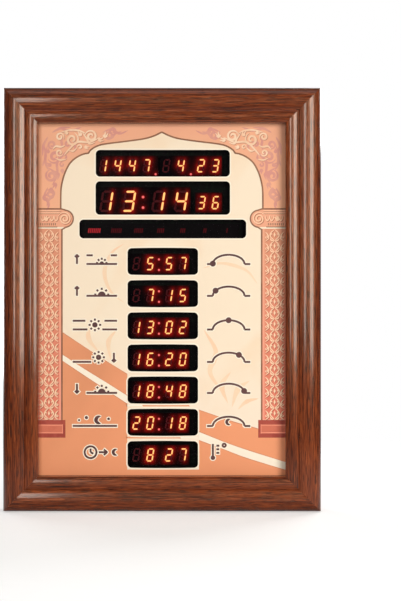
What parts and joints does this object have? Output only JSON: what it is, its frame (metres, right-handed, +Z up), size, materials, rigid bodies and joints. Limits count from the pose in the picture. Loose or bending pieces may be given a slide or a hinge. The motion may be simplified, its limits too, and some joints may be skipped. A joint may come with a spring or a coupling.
{
  "type": "azan wall clock",
  "caption": "Portrait wall clock in a wood-grain frame, with LED displays for date, time, weekday, prayer times and temperature, and a speaker behind.",
  "frame": {"origin": "top end of the hanger's keyhole slot, in the plane of the wall", "axes": "+Z up, +Y into the wall, so the face looks along -Y, +X to the right seen from the front"},
  "size_m": [0.3, 0.036, 0.4],
  "materials": {
    "walnut_foil": "satin wood-grain foil",
    "steel": "zinc plated",
    "printed_face": "printed",
    "smoked_acrylic": "polished, tinted",
    "black_film": "matt",
    "white_plastic": "moulded",
    "display_black": "moulded",
    "board_green": "solder resist",
    "grey_ribbon": "flat cable",
    "chip_black": "moulded",
    "black_plastic": "fine-grained moulding",
    "button_grey": "moulded",
    "ferrite": "sintered",
    "paper_cone": "pressed paper"
  },
  "bodies": {
    "clock": {"frame_left": "walnut_foil", "frame_right": "walnut_foil", "frame_top": "walnut_foil", "frame_bottom": "walnut_foil", "corner_nail_bottom_left": "steel", "corner_nail_top_left": "steel", "corner_nail_top_right": "steel", "corner_nail_bottom_right": "steel", "cover_screw_top": "steel", "cover_screw_bottom": "steel", "cover_screw_left_upper": "steel", "cover_screw_left_lower": "steel", "cover_screw_right_upper": "steel", "cover_screw_right_lower": "steel", "hanger_screw_left": "steel", "hanger_screw_right": "steel", "hanger_plate": "steel", "clock_crystal": "steel", "backup_cell": "steel", "speaker_basket": "steel", "face_sheet": "printed_face", "smoked_lens": "smoked_acrylic", "weekday_stencil": "black_film", "speaker_lead": "black_film", "weekday_lightbox": "white_plastic", "date_display_left": "display_black", "date_display_right": "display_black", "time_display": "display_black", "seconds_display": "display_black", "dawn_display": "display_black", "sunrise_display": "display_black", "noon_display": "display_black", "afternoon_display": "display_black", "sunset_display": "display_black", "night_display": "display_black", "temperature_display": "display_black", "display_board": "board_green", "control_board": "board_green", "ribbon_cable": "grey_ribbon", "processor_chip": "chip_black", "amplifier_chip": "chip_black", "ir_receiver": "chip_black", "temperature_sensor": "chip_black", "cell_holder": "black_plastic", "dc_jack": "black_plastic", "mode_switch": "black_plastic", "up_switch": "black_plastic", "down_switch": "black_plastic", "mute_switch": "black_plastic", "power_switch_body": "black_plastic", "rear_cover": "black_plastic", "speaker_magnet": "ferrite"},
    "mode_button": {"mode_button": "button_grey"},
    "up_button": {"up_button": "button_grey"},
    "down_button": {"down_button": "button_grey"},
    "mute_button": {"mute_button": "button_grey"},
    "power_knob": {"power_switch_knob": "button_grey"},
    "cone": {"speaker_cone": "paper_cone"}
  },
  "joints": [
    {"name": "mode_press", "type": "slide", "parent": "clock", "child": "mode_button", "axis": [0, -1, 0], "range_m": [0, 0.0006], "stiffness_N_per_m": 1200},
    {"name": "up_press", "type": "slide", "parent": "clock", "child": "up_button", "axis": [0, -1, 0], "range_m": [0, 0.0006], "stiffness_N_per_m": 1200},
    {"name": "down_press", "type": "slide", "parent": "clock", "child": "down_button", "axis": [0, -1, 0], "range_m": [0, 0.0006], "stiffness_N_per_m": 1200},
    {"name": "mute_press", "type": "slide", "parent": "clock", "child": "mute_button", "axis": [0, -1, 0], "range_m": [0, 0.0006], "stiffness_N_per_m": 1200},
    {"name": "power_slide", "type": "slide", "parent": "clock", "child": "power_knob", "axis": [-1, 0, 0], "range_m": [0, 0.003]},
    {"name": "cone_travel", "type": "slide", "parent": "clock", "child": "cone", "axis": [0, 1, 0], "range_m": [-0.001, 0.001], "stiffness_N_per_m": 1200}
  ]
}
